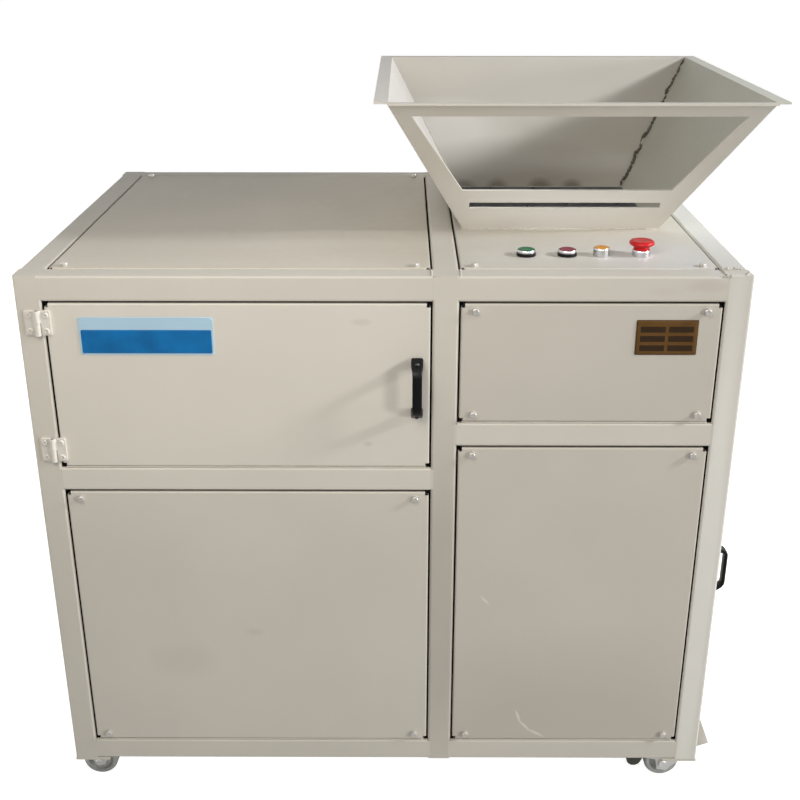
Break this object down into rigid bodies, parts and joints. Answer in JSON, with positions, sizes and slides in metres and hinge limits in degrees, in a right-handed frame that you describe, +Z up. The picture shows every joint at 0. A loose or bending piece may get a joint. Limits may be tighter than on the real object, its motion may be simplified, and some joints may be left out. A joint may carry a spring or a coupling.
{
  "type": "industrial shredder",
  "caption": "Twin-shaft industrial shredder in a wheeled steel cabinet with leaning feed hopper, push-button controls, hinged drive door and pull-out collection bin.",
  "frame": {"origin": "on the floor under the middle of the cabinet's frame", "axes": "+Z up, -Y to the front with the door, +X to the end with the hopper and the bin"},
  "size_m": [1.1775, 0.8033, 1.218],
  "materials": {
    "cabinet_paint": "satin",
    "bare_steel": "brushed",
    "cutter_steel": "dull",
    "zinc": "zinc plated",
    "chrome": "polished",
    "black_plastic": "matte",
    "dark_plastic": "matte",
    "green_plastic": "gloss",
    "red_plastic": "gloss",
    "yellow_plastic": "gloss",
    "drive_paint": "satin",
    "motor_paint": "satin",
    "cast_iron": "cast",
    "wheel_rubber": "matte"
  },
  "bodies": {
    "cabinet": {"frame_posts": "cabinet_paint", "frame_top_rails": "cabinet_paint", "frame_base_rails": "cabinet_paint", "frame_mid_rails": "cabinet_paint", "frame_bearers": "cabinet_paint", "caster_pads": "cabinet_paint", "panel_tabs": "bare_steel", "panel_bolts": "cabinet_paint", "top_left_cover": "cabinet_paint", "top_right_cover": "cabinet_paint", "front_lower_left_panel": "cabinet_paint", "front_lower_right_panel": "cabinet_paint", "front_upper_right_panel": "cabinet_paint", "side_panels": "cabinet_paint", "rear_panels": "cabinet_paint", "base_tray": "zinc", "hopper_front_wall": "cabinet_paint", "hopper_rear_wall": "cabinet_paint", "hopper_left_wall": "cabinet_paint", "hopper_right_wall": "cabinet_paint", "button_bezels": "chrome", "contact_blocks": "dark_plastic", "chamber_end_plates": "bare_steel", "chamber_side_plates": "bare_steel", "comb_fingers": "bare_steel", "bearing_housings": "cast_iron", "drive_plate": "bare_steel", "gearbox": "drive_paint", "motor": "motor_paint", "motor_cowl": "motor_paint", "control_box": "cabinet_paint", "hinge_frame_leaves": "cabinet_paint", "hinge_pins": "bare_steel", "bin_runners": "zinc", "caster_brackets": "zinc"},
    "door": {"front_door": "cabinet_paint", "door_handle": "black_plastic", "hinge_door_leaves": "cabinet_paint"},
    "bin": {"bin_body": "zinc", "bin_front": "cabinet_paint", "bin_handles": "black_plastic"},
    "start": {"start_button": "green_plastic"},
    "stop": {"stop_button": "red_plastic"},
    "reverse": {"reverse_button": "yellow_plastic"},
    "emergency": {"emergency_stop": "red_plastic"},
    "front_rotor": {"front_shaft": "bare_steel", "front_cutters": "cutter_steel", "front_gear": "bare_steel", "drive_coupling": "cast_iron"},
    "rear_rotor": {"rear_shaft": "bare_steel", "rear_cutters": "cutter_steel", "rear_gear": "bare_steel"},
    "swivel_front": {"swivel_fork_front": "zinc"},
    "swivel_rear": {"swivel_fork_rear": "zinc"},
    "brake_front": {"brake_pedal_front": "dark_plastic"},
    "brake_rear": {"brake_pedal_rear": "dark_plastic"},
    "wheel_lf": {"wheel_left_front": "wheel_rubber"},
    "wheel_lr": {"wheel_left_rear": "wheel_rubber"},
    "wheel_rf": {"wheel_right_front": "wheel_rubber"},
    "wheel_rr": {"wheel_right_rear": "wheel_rubber"}
  },
  "joints": [
    {"name": "door_hinge", "type": "hinge", "parent": "cabinet", "child": "door", "pos_m": [-0.523, -0.3895, 0.792], "axis": [0, 0, -1], "range_deg": [0, 120]},
    {"name": "bin_slide", "type": "slide", "parent": "cabinet", "child": "bin", "axis": [1, 0, 0], "range_m": [0, 0.36]},
    {"name": "start_press", "type": "slide", "parent": "cabinet", "child": "start", "axis": [0, 0, -1], "range_m": [0, 0.004], "stiffness_N_per_m": 400, "springref_m": -0.002},
    {"name": "stop_press", "type": "slide", "parent": "cabinet", "child": "stop", "axis": [0, 0, -1], "range_m": [0, 0.004], "stiffness_N_per_m": 400, "springref_m": -0.002},
    {"name": "reverse_press", "type": "slide", "parent": "cabinet", "child": "reverse", "axis": [0, 0, -1], "range_m": [0, 0.004], "stiffness_N_per_m": 400, "springref_m": -0.002},
    {"name": "emergency_press", "type": "slide", "parent": "cabinet", "child": "emergency", "axis": [0, 0, -1], "range_m": [0, 0.004]},
    {"name": "front_rotor_spin", "type": "hinge", "parent": "cabinet", "child": "front_rotor", "pos_m": [0.3, 0.00498, 0.856], "axis": [1, 0, 0], "continuous": true},
    {"name": "rear_rotor_spin", "type": "hinge", "parent": "cabinet", "child": "rear_rotor", "pos_m": [0.3, 0.14498, 0.856], "axis": [1, 0, 0], "continuous": true},
    {"name": "swivel_front_turn", "type": "hinge", "parent": "cabinet", "child": "swivel_front", "pos_m": [0.531, -0.312, 0.071], "axis": [0, 0, 1], "continuous": true},
    {"name": "brake_front_lift", "type": "hinge", "parent": "swivel_front", "child": "brake_front", "pos_m": [0.4755, -0.312, 0.0495], "axis": [0, 1, 0], "range_deg": [0, 18]},
    {"name": "swivel_rear_turn", "type": "hinge", "parent": "cabinet", "child": "swivel_rear", "pos_m": [0.531, 0.312, 0.071], "axis": [0, 0, 1], "continuous": true},
    {"name": "brake_rear_lift", "type": "hinge", "parent": "swivel_rear", "child": "brake_rear", "pos_m": [0.4755, 0.312, 0.0495], "axis": [0, 1, 0], "range_deg": [0, 18]},
    {"name": "wheel_left_front_spin", "type": "hinge", "parent": "cabinet", "child": "wheel_lf", "pos_m": [-0.531, -0.312, 0.0315], "axis": [0, 1, 0], "continuous": true},
    {"name": "wheel_left_rear_spin", "type": "hinge", "parent": "cabinet", "child": "wheel_lr", "pos_m": [-0.531, 0.312, 0.0315], "axis": [0, 1, 0], "continuous": true},
    {"name": "wheel_right_front_spin", "type": "hinge", "parent": "swivel_front", "child": "wheel_rf", "pos_m": [0.51, -0.312, 0.0315], "axis": [0, 1, 0], "continuous": true},
    {"name": "wheel_right_rear_spin", "type": "hinge", "parent": "swivel_rear", "child": "wheel_rr", "pos_m": [0.51, 0.312, 0.0315], "axis": [0, 1, 0], "continuous": true}
  ],
  "couplings": [
    {"joint": "rear_rotor_spin", "follows": "front_rotor_spin", "ratio": -1}
  ]
}
